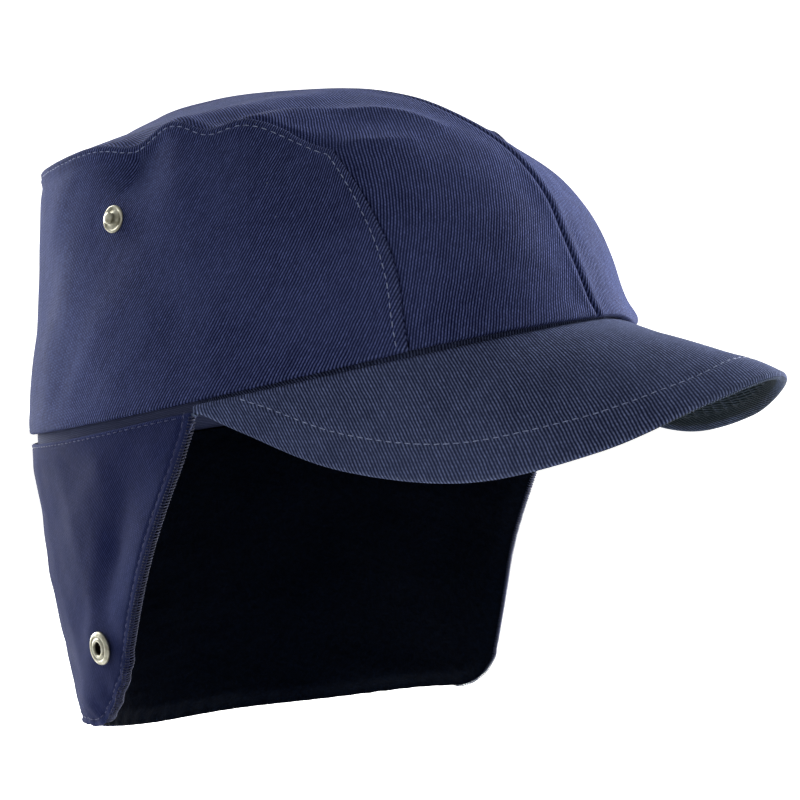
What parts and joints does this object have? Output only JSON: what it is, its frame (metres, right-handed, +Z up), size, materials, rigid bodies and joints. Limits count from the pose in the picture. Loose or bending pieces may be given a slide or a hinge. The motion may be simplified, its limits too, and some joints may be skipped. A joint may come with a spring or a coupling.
{
  "type": "earflap cap",
  "caption": "Navy twill winter cap with a curved cloth peak and a lined flap round the neck and ears, hanging down, with snaps.",
  "frame": {"origin": "centre of the head opening, level with the middle of the crown's hem, where the head sits", "axes": "+Z up as worn, -Y forwards towards the peak, +X towards the wearer's left"},
  "size_m": [0.1728, 0.2657, 0.2219],
  "materials": {
    "twill": "matt cotton twill, navy blue",
    "band_cloth": "plain cloth, grey-blue",
    "lining_fleece": "dark pile lining",
    "snap_metal": "pale nickel plate"
  },
  "bodies": {
    "root": {"crown_side_left": "twill", "crown_side_right": "twill", "crown_front_left": "twill", "crown_front_right": "twill", "peak_upper": "twill", "peak_under": "twill", "flap_outer": "twill", "flap_band": "band_cloth", "flap_lining": "lining_fleece", "snap_stud_left": "snap_metal", "snap_stud_right": "snap_metal", "snap_socket_left": "snap_metal", "snap_socket_right": "snap_metal"}
  },
  "joints": []
}
